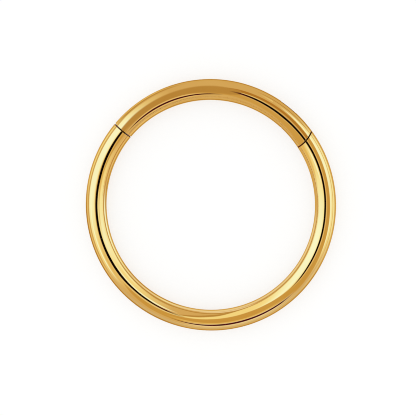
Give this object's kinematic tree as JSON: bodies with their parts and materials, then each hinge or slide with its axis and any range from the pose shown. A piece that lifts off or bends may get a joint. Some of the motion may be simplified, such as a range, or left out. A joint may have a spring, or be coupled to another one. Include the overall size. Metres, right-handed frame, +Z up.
{
  "type": "hinged segment ring",
  "caption": "Round wire hoop for a body piercing, with a segment that swings open on a hinge in the hoop's own plane and latches shut.",
  "frame": {"origin": "centre of the hoop, at the level of the surface that it lies on", "axes": "+Z up along the hoop's axis, +X towards the hinge's side, +Y towards the middle of the hinged segment"},
  "size_m": [0.0144, 0.0144, 0.0012],
  "materials": {
    "gold": "mirror-polished yellow gold colour, with faint polishing lines along the wire",
    "pin_gold": "satin gold colour, turned end, dressed flush with the wire",
    "peg_gold": "polished gold colour, slightly rubbed where it slides in its socket"
  },
  "bodies": {
    "ring": {"ring_body": "gold"},
    "segment": {"hinged_segment": "gold", "hinge_pin": "pin_gold", "latch_peg": "peg_gold"}
  },
  "joints": [
    {"name": "segment_hinge", "type": "hinge", "parent": "ring", "child": "segment", "pos_m": [0.00435, 0.00469, 0.0006], "axis": [0, 0, -1], "range_deg": [0, 55]}
  ]
}
